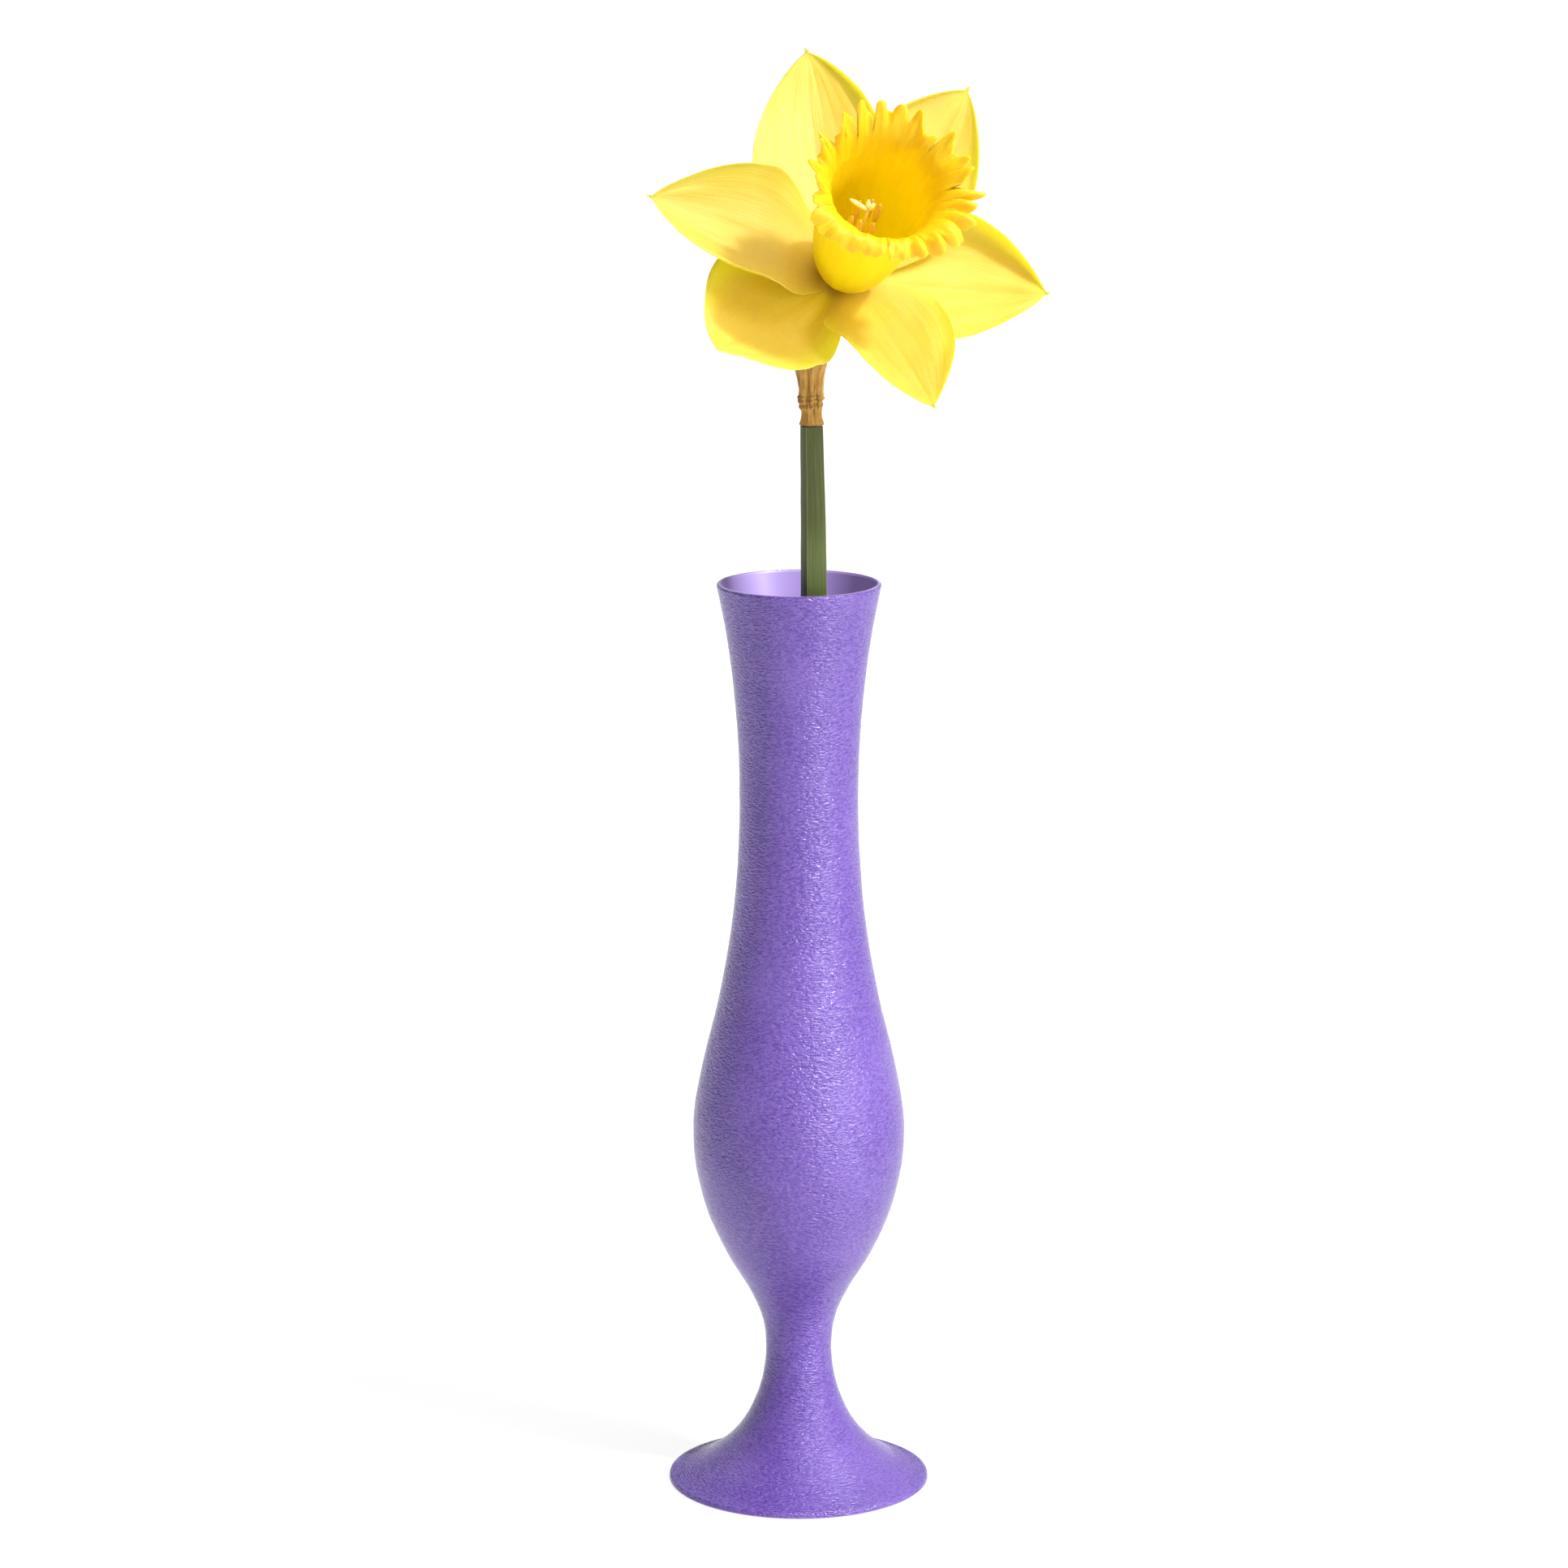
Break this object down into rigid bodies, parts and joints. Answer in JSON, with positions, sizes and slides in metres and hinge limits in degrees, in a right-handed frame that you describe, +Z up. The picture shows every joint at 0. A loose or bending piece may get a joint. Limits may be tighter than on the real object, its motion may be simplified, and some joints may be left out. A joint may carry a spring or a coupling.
{
  "type": "daffodil in bud vase",
  "caption": "Trumpet daffodil with petals spread round a frilled trumpet, on a green stem with a brown papery sheath, standing in a slender footed bud vase with a finely wrinkled skin.",
  "frame": {"origin": "centre of the vase's flat underside, on the vase's axis", "axes": "+Z up along the vase's axis, -Y towards the side that the flower faces, +X to the right of someone who looks at the flower"},
  "size_m": [0.087, 0.11, 0.3384],
  "materials": {
    "vase": "purple, satin, with a fine sideways wrinkle outside and a smooth lilac inside",
    "water": "clear, still water",
    "stem": "olive green, faintly ribbed, satin",
    "spathe": "tan brown, dry and papery, with dark veins",
    "ovary": "green, satin",
    "floral_tube": "yellow, turning green towards the ovary, satin",
    "tepal": "lemon yellow, finely veined, slightly translucent",
    "corona": "deep yellow, ribbed, slightly translucent",
    "stamens": "amber, powdery",
    "pistil": "pale yellow, satin"
  },
  "bodies": {
    "root": {"vase": "vase", "water": "water", "stem": "stem", "spathe": "spathe", "ovary": "ovary", "floral_tube": "floral_tube", "outer_tepal_1": "tepal", "outer_tepal_2": "tepal", "outer_tepal_3": "tepal", "inner_tepal_1": "tepal", "inner_tepal_2": "tepal", "inner_tepal_3": "tepal", "corona": "corona", "stamens": "stamens", "pistil": "pistil"}
  },
  "joints": []
}
